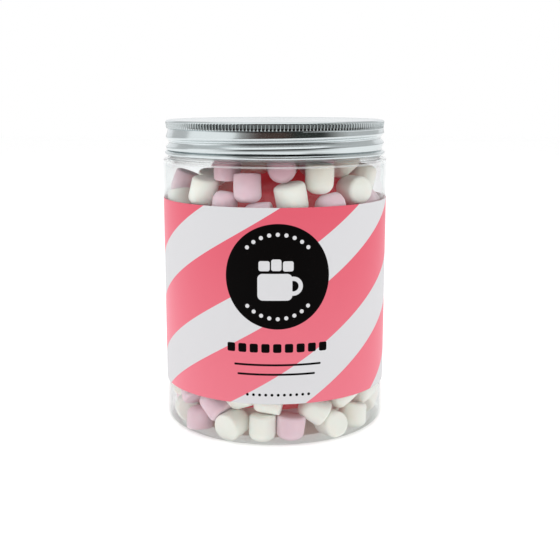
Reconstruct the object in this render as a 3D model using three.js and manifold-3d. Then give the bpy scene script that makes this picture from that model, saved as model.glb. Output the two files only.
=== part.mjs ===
// A shut clear jar of small marshmallows, with a screw lid of thin metal and a wrap-round label.
// Millimetres, +Z up, front towards -Y. The origin is the centre of the base, where the jar stands.
import * as THREE from "three";
import { mergeVertices } from "three/addons/utils/BufferGeometryUtils.js";
import Module from "manifold-3d";

const wasm = await Module();
wasm.setup();

// Jar
const jarRadius = 50;
const wallThickness = 0.9;
const shoulderHeight = 119.7;
const shoulderRound = 1;
const neckRadius = 46.4;
const neckThickness = 1.3;
const neckTop = 134.9;
const cornerReach = 5;
const cornerRise = 4;
const ringInner = 36;
const pushUp = 1.8;
const pushUpSlope = 3;

// Lid
const lidTop = 136.3;
const lidBottom = 121;
const lidSkin = 1;
const lidEdgeRound = 1;
const knurlRadius = 48.8;
const knurlBottom = 132.9;
const grooveRadius = 48;
const grooveBottom = 131.6;
const lidWallRadius = 47.6;
const lidBore = 46.7;
const hemRadius = 49.2;
const hemRound = 1.1;
const threadPitch = 4.5;
const threadStart = 124;
const threadTurns = 1.62;
const threadHalfWidth = 1.3;
const threadCrest = 48.75;

// Label
const labelBottom = 19.4;
const labelTop = 102.2;
const labelInner = 50.05;
const labelOuter = 50.4;

// Marshmallows
const sweetRadius = 6.2;
const sweetHalfLength = 6.5;
const sweetEdge = 1.9;
const sweetSides = 7;
const edgeRound = 0.9;
const coreSides = 24;
const fitGap = 0.3;

// Facets round the jar, the lid and the label, so that their flats run side by side
const roundSides = 60;

// The marshmallows that the front shows. Each row gives the angle round the jar and the height of
// its middle, how far its axis leans to the right of upright, how far the axis turns out towards
// the wall, how far it lies behind the wall, its width and its length.
const frontSweets = [
  [-75, 99.8, -22, 5, 0, 11.8, 12.2],
  [-99, 106.8, 0, -20, 0, 11.6, 12.4],
  [-44.6, 107.0, 17, 0, 0, 11.4, 12.0],
  [-57.3, 108.8, 12, 5, 10, 11.6, 12],
  [-31.5, 118.2, 182, 0, 5, 11.6, 12.4],
  [-28.6, 101.6, 184, 5, 0, 10.8, 12.5],
  [-15.8, 109.3, -2, -5, 0, 11.5, 12.2],
  [-9.4, 97.7, 87, 0, 0, 11.4, 11.9],
  [4.2, 117.4, 0, -86, 3, 11.8, 12.5],
  [9.4, 104.7, -12, 3, 0, 12.9, 13],
  [26.8, 112.9, -2, 8, 0, 11.6, 13],
  [31.6, 101.2, 80, 0, 0, 11, 11.3],
  [54.5, 106.8, -90, 68, 0, 12, 12.5],
  [79, 110, 20, 10, 3, 11.8, 12.4],
  [55, 118.5, 60, 10, 8, 12, 12.5],
  [36.5, 118, 40, 10, 11, 12, 12.5],
  [66.5, 99.5, 60, 30, 1, 11.8, 12.4],
  [-58.5, 18.6, 140, 5, 0, 11.4, 11.8],
  [-35.6, 15.2, 133, 5, 0, 11.7, 12.5],
  [-51.7, 5.8, 178, 5, 0.5, 11.3, 10],
  [-25.7, 6.8, -130, 76, 0, 12.2, 12],
  [-23, 19.4, 70, 10, 2, 12, 12.5],
  [-7.1, 6.4, 1, -6, 0, 11.7, 11.6],
  [-3.7, 19.1, 97, 5, 0.5, 12, 12.3],
  [9, 6.3, 6, 0, 0, 12, 10.8],
  [25.4, 13.2, 126, 15, 0, 11.8, 12],
  [33, 6.6, 0, 85, 0, 11.6, 12],
  [43.1, 18.9, 60, 10, 0, 12, 12.5],
  [55, 6.3, 10, 0, 0, 12, 11.2],
  [66, 15.5, 80, 10, 0, 12, 12.4],
  [-86, 16.5, 100, 20, 0, 11.8, 12.4],
  [-70, 7, 85, 10, 0, 11.6, 12],
  [97, 112.5, 60, 10, 8, 11.8, 12.4],
];

// The arcs of marshmallows that go on round the jar from the front ones, and the rings on its floor
const backArcs = [
  { height: 7.6, count: 10, behind: 0, from: 78, to: 280 },
  { height: 18.5, count: 10, behind: 0.5, from: 82, to: 270 },
  { height: 102.5, count: 7, behind: 0, from: 84, to: 224 },
  { height: 111.5, count: 6, behind: 1, from: 110, to: 222 },
  { height: 119.5, count: 6, behind: 5, from: 84, to: 222 },
];
const floorRings = [
  { radius: 28.5, count: 12 },
  { radius: 15, count: 6 },
  { radius: 0, count: 1 },
];
const floorHeight = 9;
const placeJitter = 1.6;
const relaxSteps = 160;
const relaxShare = 0.3;
const frontHold = 0.2;
const frontPull = 0.25;
const cornerBall = 2.6;
const endBalls = 6;
const edgeBeyondBalls = 0.6;

// A repeatable draw between 0 and 1
let seed = 4127;
function draw() {
  seed = (seed * 16807) % 2147483647;
  return seed / 2147483647;
}

// Solids from three.js geometry and back

function solidOf(geometry) {
  const plain = new THREE.BufferGeometry();
  plain.setAttribute("position", geometry.getAttribute("position").clone());
  plain.setIndex(geometry.index);
  const merged = mergeVertices(plain, 1e-4);
  const corners = [];
  for (let i = 0; i < merged.index.count; i += 3) {
    const [a, b, c] = [0, 1, 2].map((k) => merged.index.getX(i + k));
    if (a !== b && b !== c && c !== a) corners.push(a, b, c);
  }
  const mesh = new wasm.Mesh({
    numProp: 3,
    vertProperties: merged.attributes.position.array,
    triVerts: new Uint32Array(corners),
  });
  return new wasm.Manifold(mesh);
}

function geometryOf(solid) {
  const mesh = solid.getMesh();
  const geometry = new THREE.BufferGeometry();
  geometry.setAttribute("position", new THREE.BufferAttribute(mesh.vertProperties, 3));
  geometry.setIndex(new THREE.BufferAttribute(mesh.triVerts, 1));
  geometry.computeVertexNormals();
  return geometry;
}

// A profile of radius and height turned about the jar's upright axis
function turned(profile, sides = roundSides) {
  const points = profile.map(([radius, height]) => new THREE.Vector2(radius, height));
  return new THREE.LatheGeometry(points, sides).rotateX(Math.PI / 2);
}

// A round stretch of a profile, from one angle to another in quarter turns
function arc([middle, height], [reach, rise], from, to, steps) {
  return Array.from({ length: steps + 1 }, (_, k) => {
    const angle = ((from + ((to - from) * k) / steps) * Math.PI) / 2;
    return [middle + reach * Math.cos(angle), height + rise * Math.sin(angle)];
  });
}

// Jar: base with a flat standing ring, straight wall, small round shoulder and thick neck

function jarGeometry() {
  const wallInner = jarRadius - wallThickness;
  const neckInner = neckRadius - neckThickness;
  const corner = [jarRadius - cornerReach, cornerRise];
  const shoulder = [jarRadius - shoulderRound, shoulderHeight - shoulderRound];
  return turned([
    [0, pushUp],
    [ringInner - pushUpSlope, pushUp],
    [ringInner, 0],
    ...arc(corner, [cornerReach, cornerRise], -1, 0, 4),
    ...arc(shoulder, [shoulderRound, shoulderRound], 0, 1, 2),
    [neckRadius, shoulderHeight + 0.2],
    [neckRadius, neckTop],
    [neckInner, neckTop],
    [neckInner, shoulderHeight - 1.4],
    [wallInner, shoulderHeight - 2.6],
    ...arc(corner, [cornerReach - wallThickness, cornerRise - wallThickness], 0, -1, 2),
    [ringInner, wallThickness],
    [ringInner - pushUpSlope, pushUp + wallThickness],
    [0, pushUp + wallThickness],
  ]);
}

// Lid: flat top, raised knurl band, groove, wall with a rolled screw thread, and a curled hem

class ThreadRidge extends THREE.Curve {
  getPoint(t, target = new THREE.Vector3()) {
    const fade = Math.min(1, 12 * Math.min(t, 1 - t));
    const radius = threadCrest - threadHalfWidth * (2 - fade);
    const angle = 2 * Math.PI * threadTurns * t - 0.62 * Math.PI;
    const height = threadStart + threadPitch * threadTurns * t;
    return target.set(radius * Math.sin(angle), -radius * Math.cos(angle), height);
  }
}

function threadGeometry() {
  const section = new THREE.Shape();
  section.absarc(0, 0, threadHalfWidth, 0, 2 * Math.PI);
  return new THREE.ExtrudeGeometry(section, {
    extrudePath: new ThreadRidge(),
    steps: Math.round(threadTurns * 26),
    curveSegments: 3,
    bevelEnabled: false,
  });
}

function lidGeometry() {
  const hem = [hemRadius - hemRound, lidBottom + hemRound];
  const edge = [knurlRadius - lidEdgeRound, lidTop - lidEdgeRound];
  const outside = turned([
    [0, lidBottom],
    ...arc(hem, [hemRound, hemRound], -1, 1, 5),
    [lidWallRadius, hem[1] + hemRound + 0.2],
    [lidWallRadius, grooveBottom],
    [grooveRadius, grooveBottom + 0.4],
    [grooveRadius, knurlBottom - 0.4],
    [knurlRadius, knurlBottom],
    ...arc(edge, [lidEdgeRound, lidEdgeRound], 0, 1, 2),
    [0, lidTop],
  ]);
  const bore = turned([
    [0, lidBottom - 1],
    [lidBore, lidBottom - 1],
    [lidBore, lidTop - lidSkin],
    [0, lidTop - lidSkin],
  ]);
  const ridged = solidOf(outside).add(solidOf(threadGeometry()));
  return geometryOf(ridged.subtract(solidOf(bore)));
}

// Label: a thin band round the straight wall

function labelGeometry() {
  return turned([
    [labelInner, labelBottom],
    [labelOuter, labelBottom],
    [labelOuter, labelTop],
    [labelInner, labelTop],
    [labelInner, labelBottom],
  ]);
}

// Marshmallows: where each one lies

// A marshmallow by its place in the jar. Lean tilts its axis in the plane of the wall, out turns
// the axis towards the wall, and hold is how readily it gives way to its neighbours.
function sweet(outermost, angleDeg, height, leanDeg, outDeg, radius, half, hold) {
  const [angle, lean, out] = [angleDeg, leanDeg, outDeg].map(THREE.MathUtils.degToRad);
  const outward = new THREE.Vector3(Math.sin(angle), -Math.cos(angle), 0);
  const along = new THREE.Vector3(Math.cos(angle), Math.sin(angle), 0);
  const axis = new THREE.Vector3(0, 0, Math.cos(lean) * Math.cos(out));
  axis.addScaledVector(along, Math.sin(lean) * Math.cos(out));
  axis.addScaledVector(outward, Math.sin(out));
  const place = outward.clone().multiplyScalar(outermost - reach(out, radius, half));
  place.setZ(height);
  return { place, wanted: place.clone(), axis, radius, half, hold };
}

// The distance from its middle to the side that faces the wall, less what its round edge saves
function reach(out, radius, half) {
  const turn = Math.abs(out);
  return half * Math.sin(turn) + radius * Math.cos(turn) - edgeRound * Math.sin(2 * turn);
}

// A marshmallow turned at random: one in four shows an end, the others lie more along the wall
function randomSweet(outermost, angleDeg, height) {
  const lean = 180 * draw();
  const out = draw() < 0.25 ? 75 : 70 * (draw() - 0.5);
  const radius = sweetRadius * (0.95 + 0.1 * draw());
  const half = sweetHalfLength * (0.94 + 0.12 * draw());
  return sweet(outermost, angleDeg, height, lean, out, radius, half, 1);
}

function arcSweets(outermost, height, from, to, count) {
  return Array.from({ length: count }, (_, k) => {
    const angle = from + ((to - from) * (k + 0.5)) / count + placeJitter * (draw() - 0.5);
    return randomSweet(outermost, angle, height + placeJitter * (draw() - 0.5));
  });
}

function allSweets() {
  const wall = jarRadius - wallThickness - fitGap;
  const front = frontSweets.map(([angle, height, lean, out, behind, width, length]) =>
    sweet(wall - behind, angle, height, lean, out, width / 2, length / 2, frontHold),
  );
  const back = backArcs.flatMap(({ height, count, behind, from, to }) =>
    arcSweets(wall - behind, height, from, to, count),
  );
  const floor = floorRings.flatMap(({ radius, count }) =>
    arcSweets(radius + sweetRadius, floorHeight, 0, 360, count),
  );
  return [...front, ...back, ...floor];
}

// Each marshmallow as balls: a large one in the middle and a ring of small ones at each end
function ballsOf(s) {
  const side = new THREE.Vector3(0.36, 0.48, 0.8).cross(s.axis).normalize();
  const across = s.axis.clone().cross(side);
  const balls = [{ offset: new THREE.Vector3(), size: s.radius }];
  for (let k = 0; k < 2 * endBalls; k++) {
    const end = k % 2 ? 1 : -1;
    const angle = (Math.PI * k) / endBalls;
    const offset = s.axis.clone().multiplyScalar(end * (s.half - cornerBall));
    offset.addScaledVector(side, (s.radius - cornerBall) * Math.cos(angle));
    offset.addScaledVector(across, (s.radius - cornerBall) * Math.sin(angle));
    balls.push({ offset, size: cornerBall });
  }
  return balls;
}

// The widest radius and the lowest height that the inside of the jar leaves to the balls
function wallAt(height) {
  const inNeck = height > shoulderHeight - 3;
  const wall = inNeck ? neckRadius - neckThickness : jarRadius - wallThickness;
  return wall - fitGap - edgeBeyondBalls;
}

function floorAt(radius) {
  return (radius < ringInner ? pushUp + wallThickness : wallThickness) + fitGap;
}

// Moves overlapping marshmallows apart, a little at a time, and keeps them inside the jar. The
// front ones are drawn back towards their places.
function settle(sweets) {
  const balls = sweets.map(ballsOf);
  const near = [];
  sweets.forEach((a, i) =>
    sweets.forEach((b, j) => {
      if (i < j && a.place.distanceTo(b.place) < 24) near.push([i, j]);
    }),
  );
  const gap = new THREE.Vector3();
  for (let step = 0; step < relaxSteps; step++) {
    const shift = sweets.map(() => new THREE.Vector3());
    for (const [i, j] of near) {
      const between = sweets[i].place.clone().sub(sweets[j].place);
      const share = sweets[i].hold / (sweets[i].hold + sweets[j].hold);
      for (const a of balls[i]) {
        for (const b of balls[j]) {
          gap.copy(between).add(a.offset).sub(b.offset);
          const overlap = a.size + b.size - gap.length();
          if (overlap <= 0) continue;
          gap.normalize().multiplyScalar(overlap * relaxShare);
          shift[i].addScaledVector(gap, share);
          shift[j].addScaledVector(gap, share - 1);
        }
      }
    }
    sweets.forEach((s, i) => {
      for (const ball of balls[i]) {
        const at = s.place.clone().add(ball.offset);
        const radius = Math.hypot(at.x, at.y);
        const over = radius + ball.size - wallAt(at.z);
        const under = floorAt(radius) + ball.size - at.z;
        const inward = at.clone().setZ(0).normalize().negate();
        if (over > 0) shift[i].addScaledVector(inward, relaxShare * over);
        if (under > 0) shift[i].z += relaxShare * under;
      }
      if (s.hold < 1) shift[i].addScaledVector(s.wanted.clone().sub(s.place), frontPull);
      s.place.add(shift[i].clampLength(0, 1));
    });
  }
  return sweets;
}

// One marshmallow: a short drum with sloped edges
function sweetGeometry(s) {
  const drum = turned(
    [
      [0, -s.half],
      [s.radius - sweetEdge, -s.half],
      [s.radius, sweetEdge - s.half],
      [s.radius, s.half - sweetEdge],
      [s.radius - sweetEdge, s.half],
      [0, s.half],
    ],
    sweetSides,
  );
  const turn = new THREE.Quaternion().setFromUnitVectors(new THREE.Vector3(0, 0, 1), s.axis);
  return drum.applyQuaternion(turn).translate(s.place.x, s.place.y, s.place.z);
}

// The closely packed inside of the heap, as wide as the marshmallows where the label covers them
function coreGeometry() {
  const wide = jarRadius - wallThickness - 2;
  const narrow = wide - 1.35 * sweetRadius;
  return turned(
    [
      [0, 9.5],
      [narrow - 2, 9.5],
      [narrow, labelBottom],
      [wide, labelBottom + 6],
      [wide, labelTop - 8],
      [narrow, labelTop],
      [narrow, 110],
      [narrow - 6, 115],
      [narrow - 10, 118],
      [0, 120.5],
    ],
    coreSides,
  );
}

// The room inside the jar, less the gap that everything in it keeps
function roomGeometry() {
  const wall = jarRadius - wallThickness - fitGap;
  const neck = neckRadius - neckThickness - fitGap;
  const floor = wallThickness + fitGap;
  const corner = [jarRadius - cornerReach, cornerRise];
  return turned([
    [0, pushUp + floor],
    [ringInner - pushUpSlope, pushUp + floor],
    [ringInner, floor],
    ...arc(corner, [cornerReach - floor, cornerRise - floor], -1, 0, 2),
    [wall, shoulderHeight - 3],
    [neck, shoulderHeight - 1.8],
    [neck, neckTop],
    [0, neckTop],
  ]);
}

function marshmallowGeometry() {
  const sweets = settle(allSweets());
  const heap = sweets.reduce((sum, s) => sum.add(solidOf(sweetGeometry(s))), solidOf(coreGeometry()));
  const bodies = heap.intersect(solidOf(roomGeometry())).decompose();
  bodies.sort((a, b) => b.volume() - a.volume());
  return geometryOf(bodies[0]);
}

// Assembly

const group = new THREE.Group();

function addPart(name, geometry, look) {
  const mesh = new THREE.Mesh(geometry, new THREE.MeshStandardMaterial(look));
  mesh.name = name;
  group.add(mesh);
}

addPart("jar", jarGeometry(), {
  color: 0xe6ecec,
  roughness: 0.06,
  metalness: 0,
  transparent: true,
  opacity: 0.3,
});
addPart("lid", lidGeometry(), { color: 0xc9cfd0, roughness: 0.32, metalness: 1 });
addPart("label", labelGeometry(), { color: 0xee8a97, roughness: 0.42, metalness: 0 });
addPart("marshmallows", marshmallowGeometry(), { color: 0xefe2de, roughness: 0.85, metalness: 0 });

export default group;
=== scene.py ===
# A shut clear jar of small marshmallows under a thin metal screw lid, with a striped label round it.
# Lengths in the dictionaries are millimetres, in the frame of the CAD model: +Z up, front towards -Y.
import math

import bpy
import numpy as np
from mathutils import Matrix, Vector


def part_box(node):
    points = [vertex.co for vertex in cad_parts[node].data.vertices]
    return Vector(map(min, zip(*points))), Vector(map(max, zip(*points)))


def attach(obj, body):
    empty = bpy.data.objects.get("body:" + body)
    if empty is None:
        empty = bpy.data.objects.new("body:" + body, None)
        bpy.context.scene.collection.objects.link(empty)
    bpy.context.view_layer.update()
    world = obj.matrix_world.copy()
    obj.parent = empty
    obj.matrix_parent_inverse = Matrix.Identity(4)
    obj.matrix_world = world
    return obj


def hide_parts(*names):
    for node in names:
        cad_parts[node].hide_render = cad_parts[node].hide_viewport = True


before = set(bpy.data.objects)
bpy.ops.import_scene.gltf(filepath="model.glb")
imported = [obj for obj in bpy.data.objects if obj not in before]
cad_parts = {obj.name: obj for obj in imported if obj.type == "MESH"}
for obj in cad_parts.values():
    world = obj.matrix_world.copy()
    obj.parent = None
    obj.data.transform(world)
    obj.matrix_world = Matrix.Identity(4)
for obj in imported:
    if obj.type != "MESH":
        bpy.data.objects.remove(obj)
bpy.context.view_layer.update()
mm = 0.001
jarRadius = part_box("jar")[1].x / mm
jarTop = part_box("jar")[1].z / mm
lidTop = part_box("lid")[1].z / mm
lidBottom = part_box("lid")[0].z / mm
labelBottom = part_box("label")[0].z / mm
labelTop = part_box("label")[1].z / mm
print("frame loaded: jar radius", round(jarRadius, 2), "height", round(lidTop, 2))


# Meshes from grids of points


def gridFaces(rows, cols, wrapRows, wrapCols, start=0):
    # Quads between neighbouring rows and columns, turned so that columns to the right and rows
    # going up face the viewer
    i = np.arange(rows if wrapRows else rows - 1)[:, None]
    j = np.arange(cols if wrapCols else cols - 1)[None, :]
    i, j = np.broadcast_arrays(i, j)
    below, above = i * cols, (i + 1) % rows * cols
    left, right = j, (j + 1) % cols
    corners = [below + left, below + right, above + right, above + left]
    return np.stack(corners, -1).reshape(-1, 4) + start


def fanFaces(ring, pole, upwards):
    # Triangles from a ring of point numbers to one pole
    after = np.roll(ring, -1, axis=-1)
    order = [ring, after] if upwards else [after, ring]
    return np.stack(order + [np.broadcast_to(pole, ring.shape)], -1).reshape(-1, 3)


def makeObject(name, points, faces, material, sharpAngle=None):
    mesh = bpy.data.meshes.new(name)
    mesh.from_pydata((np.asarray(points).reshape(-1, 3) * mm).tolist(), [], faces)
    mesh.shade_smooth()
    if sharpAngle:
        mesh.set_sharp_from_angle(angle=math.radians(sharpAngle))
    mesh.materials.append(material)
    piece = bpy.data.objects.new(name, mesh)
    bpy.context.scene.collection.objects.link(piece)
    return piece


def around(radius, angle, height):
    # Points at a radius and a height about the axis, with the angle counted from the front
    x, y = radius * np.sin(angle), -radius * np.cos(angle)
    return np.stack(np.broadcast_arrays(x, y, height), -1)


def closedGrid(name, grid, lowPole, highPole, material, sharpAngle=None):
    # A grid whose columns go round the axis and whose first and last rows close on the axis
    rows, cols = grid.shape[:2]
    count = rows * cols
    points = np.concatenate([grid.reshape(-1, 3), [[0, 0, lowPole], [0, 0, highPole]]])
    faces = gridFaces(rows, cols, False, True).tolist()
    faces += fanFaces(np.arange(cols), count, False).tolist()
    faces += fanFaces(np.arange(count - cols, count), count + 1, True).tolist()
    return makeObject(name, points, faces, material, sharpAngle)


def addValues(piece, name, values):
    # One number at each point of the mesh, which a material reads by its name
    data = piece.data.attributes.new(name, "FLOAT", "POINT").data
    data.foreach_set("value", values.astype(np.float32))


def arc(middle, reach, start, end, steps):
    # Points on an ellipse about middle, from one angle to another, in degrees
    a = np.radians(np.linspace(start, end, steps + 1))
    return [[middle[0] + reach[0] * math.cos(t), middle[1] + reach[1] * math.sin(t)] for t in a]


def smoothStep(t):
    t = np.clip(t, 0, 1)
    return t * t * (3 - 2 * t)


# Materials


class Value:
    # A number that changes over a surface: Python's operators add the Math nodes
    def __init__(self, look, socket):
        self.look = look
        self.socket = socket

    def __add__(self, other):
        return self.look.math("ADD", self, other)

    def __sub__(self, other):
        return self.look.math("SUBTRACT", self, other)

    def __rsub__(self, other):
        return self.look.math("SUBTRACT", other, self)

    def __mul__(self, other):
        return self.look.math("MULTIPLY", self, other)

    def __truediv__(self, other):
        return self.look.math("DIVIDE", self, other)

    __radd__ = __add__
    __rmul__ = __mul__


class Look:
    # One material being made
    def __init__(self, name):
        self.material = bpy.data.materials.new(name)
        self.material.use_nodes = True
        self.tree = self.material.node_tree
        self.tree.nodes.clear()

    def node(self, kind, settings={}, inputs={}):
        made = self.tree.nodes.new(kind)
        for key, value in settings.items():
            setattr(made, key, value)
        for key, value in inputs.items():
            if isinstance(value, Value):
                self.tree.links.new(value.socket, made.inputs[key])
            else:
                made.inputs[key].default_value = value
        return made

    def value(self, node, output=0):
        return Value(self, node.outputs[output])

    def math(self, operation, *numbers):
        inputs = dict(enumerate(numbers))
        return self.value(self.node("ShaderNodeMath", {"operation": operation}, inputs))

    def clamp(self, number):
        made = self.node("ShaderNodeMath", {"operation": "ADD", "use_clamp": True}, {0: number, 1: 0.0})
        return self.value(made)

    def place(self):
        return self.value(self.node("ShaderNodeTexCoord"), "Object")

    def split(self, vector):
        # A vector's three parts
        made = self.node("ShaderNodeSeparateXYZ", {}, {0: vector})
        return [self.value(made, k) for k in range(3)]

    def attribute(self, name, output="Fac"):
        return self.value(self.node("ShaderNodeAttribute", {"attribute_name": name}), output)

    def noise(self, scale, detail, distortion=0.0, stretch=None):
        where = self.place()
        if stretch:
            where = self.value(self.node("ShaderNodeMapping", {}, {"Vector": where, "Scale": stretch}))
        inputs = {"Vector": where, "Scale": scale, "Detail": detail, "Distortion": distortion}
        return self.value(self.node("ShaderNodeTexNoise", {}, inputs), "Fac")

    def mix(self, factor, first, second):
        made = self.node("ShaderNodeMix", {"data_type": "RGBA"}, {"Factor": factor})
        for socket, colour in zip([s for s in made.inputs if s.type == "RGBA"], [first, second]):
            if isinstance(colour, Value):
                self.tree.links.new(colour.socket, socket)
            else:
                socket.default_value = (*colour, 1)
        return Value(self, [s for s in made.outputs if s.type == "RGBA"][0])

    def bump(self, height, distance, strength):
        inputs = {"Height": height, "Distance": distance, "Strength": strength}
        return self.value(self.node("ShaderNodeBump", {}, inputs))

    def facing(self):
        # Nought where the surface faces the eye and one at its outline
        return self.value(self.node("ShaderNodeLayerWeight", {}, {"Blend": 0.5}), "Facing")

    def finish(self, inputs, cover=None, tint=None):
        # With a cover, what the cover doesn't hide is seen through
        shader = self.value(self.node("ShaderNodeBsdfPrincipled", {}, inputs))
        if cover:
            clear = self.value(self.node("ShaderNodeBsdfTransparent", {}, {"Color": (*tint, 1)}))
            shader = self.value(self.node("ShaderNodeMixShader", {}, {0: cover, 1: clear, 2: shader}))
        self.node("ShaderNodeOutputMaterial", {}, {"Surface": shader})
        return self.material


plasticLook = {
    "tint": (0.972, 0.978, 0.978),
    "gloss": (0.84, 0.87, 0.87),
    "glossLow": (0.66, 0.68, 0.67),
    "dark": (0.36, 0.36, 0.34),
    "lowFrom": 50,
    "lowFade": 30,
    "straightOn": 0.022,
    "edgeOn": 0.7,
    "edgePower": 4,
    "paintedShadePerLine": 2.5,
    "mattPerPaintedHighlight": 5,
    "roughness": 0.05,
}
lidLook = {
    "colour": (0.59, 0.64, 0.65),
    "patchShare": 0.94,
    # Painted shade in the slots of the knurl and in the creases in front
    "pressedAndShaded": (0.02, 0.024, 0.022),
    "pressedShadeShare": 0.9,
    "roughness": 0.14,
    "streak": 0.1,
}
labelLook = {
    "pink": (0.705, 0.112, 0.158),
    "pinkPale": (0.87, 0.29, 0.355),
    "white": (0.66, 0.66, 0.675),
    "black": (0.002, 0.0015, 0.0015),
    "inside": (0.75, 0.3, 0.33),
    "rise": 0.635,
    "period": 44.95,
    "firstWhite": 11.8,
    "whiteShare": 0.445,
    "wave": 0.9,
    "waveLength": 100,
    "waveAt": -48,
    # Painted light on the pink: where it is deepest, and how fast it pales aside and downwards
    "deepestAt": (4, 102),
    "paleAside": 3.179e-8,
    "paleDown": 0.0055,
    "softness": 0.12,
}
# The print, in millimetres across from the front and up. Boxes are a middle, a half size and a corner.
labelPrints = {
    "discMiddle": (1.2, 73.7),
    "discRadius": 22,
    "mug": ((0, 69.5), (7.2, 5.6), 2.2),
    "ear": (7.6, 69.9),
    "earRadius": 3.1,
    "earHalf": 0.9,
    "sweets": (
        ((-4.4, 78.3), (2.3, 2.1), 0.9),
        ((0.6, 78.7), (2.1, 2.4), 0.9),
        ((5.5, 78.2), (2.2, 2.1), 0.9),
    ),
    "arcRadius": 17.6,
    "arcStep": 11.5,
    "arcDots": 9,
    "arcDotRadius": 0.85,
    "square": ((0, 43.6), (1.75, 1.9), 0.75),
    "squareRow": (1, 4.9, 9),  # middle, step and number
    "rules": (((1.2, 36.4), (18.5, 0.45), 0.4), ((0.6, 32.3), (16.5, 0.45), 0.4)),
    "pip": (0, 23.4),
    "pipRadius": 0.62,
    "pipRow": (1.4, 2.6, 11),
}
sweetLook = {
    "pink": (0.84, 0.67, 0.725),
    "pinkDeep": (0.82, 0.57, 0.64),
    "white": (0.93, 0.935, 0.86),
    "whiteDeep": (0.92, 0.9, 0.82),
    "pinkShade": (0.5, 0.25, 0.29),
    "whiteShade": (0.66, 0.58, 0.5),
    "shadeFrom": 108.5,
    "shadeFade": 11,
    "shadeMost": 0.8,
    "depth": 1.6,
}
coreLook = {
    "upperFrom": 9,
    "upperFade": 4,
    "leftFrom": -14,
    "leftFade": 6,
    "low": ((0.62, 0.4, 0.42), (0.7, 0.52, 0.5)),
    "high": ((0.42, 0.015, 0.025), (0.6, 0.08, 0.11)),
    "left": (0.25, 0.002, 0.002),
    "lowGlow": (0.4, 0.14, 0.14),
    "highGlow": ((0.46, 0.01, 0.015), (0.6, 0.08, 0.1)),
    "leftGlow": (0.36, 0.004, 0.004),
    "glow": 0.28,
}


def plasticMaterial():
    # A thin clear wall: little shows where it is seen straight on, more towards its outline. The attribute
    # paints shade, a dark line, where it is positive and a painted highlight, a pale haze, where it is
    # negative, at the bends of the plastic.
    look = Look("clear_plastic")
    p = plasticLook
    paintedLine = look.attribute("paintedLine")
    outline = look.math("POWER", look.facing(), p["edgePower"]) * p["edgeOn"]
    cover = look.clamp(outline + p["straightOn"] + look.math("ABSOLUTE", paintedLine))
    height = look.split(look.place())[2]
    low = look.clamp((p["lowFrom"] * mm - height) / (p["lowFade"] * mm))
    gloss = look.mix(low, p["gloss"], p["glossLow"])
    inputs = {
        # Painted shade darkens the wall along the dark lines, and a painted highlight turns it pale and
        # matt along the hazes
        "Base Color": look.mix(look.clamp(paintedLine * p["paintedShadePerLine"]), gloss, p["dark"]),
        "Metallic": 1.0 - look.clamp(paintedLine * -p["mattPerPaintedHighlight"]),
        "Roughness": p["roughness"],
        "Normal": look.bump(look.noise(55, 2), 0.0006, 0.25),
    }
    return look.finish(inputs, cover, p["tint"])


def lidMaterial():
    # Rolled sheet: faint streaks run round the lid, and the finish is a little uneven
    look = Look("lid_metal")
    p = lidLook
    streaks = look.noise(900, 3, stretch=(0.04, 0.04, 1.0))
    colour = look.mix(look.noise(60, 2), p["colour"], [c * p["patchShare"] for c in p["colour"]])
    inputs = {
        # Painted shade: dark in the slots of the knurl and in the creases in front
        "Base Color": look.mix(look.attribute("pressedAndShaded") * p["pressedShadeShare"], colour, p["pressedAndShaded"]),
        "Metallic": 1.0,
        "Roughness": streaks * p["streak"] + p["roughness"],
        "Normal": look.bump(streaks, 0.00002, 0.5),
    }
    return look.finish(inputs)


def roundedBox(look, u, v, middle, half, corner):
    # Signed distance to a box with rounded corners, less than zero inside
    x = look.math("ABSOLUTE", u - middle[0]) - (half[0] - corner)
    y = look.math("ABSOLUTE", v - middle[1]) - (half[1] - corner)
    outX, outY = look.math("MAXIMUM", x, 0.0), look.math("MAXIMUM", y, 0.0)
    outside = look.math("SQRT", outX * outX + outY * outY)
    inside = look.math("MINIMUM", look.math("MAXIMUM", x, y), 0.0)
    return outside + inside - corner


def circle(look, u, v, middle, radius):
    x, y = u - middle[0], v - middle[1]
    return look.math("SQRT", x * x + y * y) - radius


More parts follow.
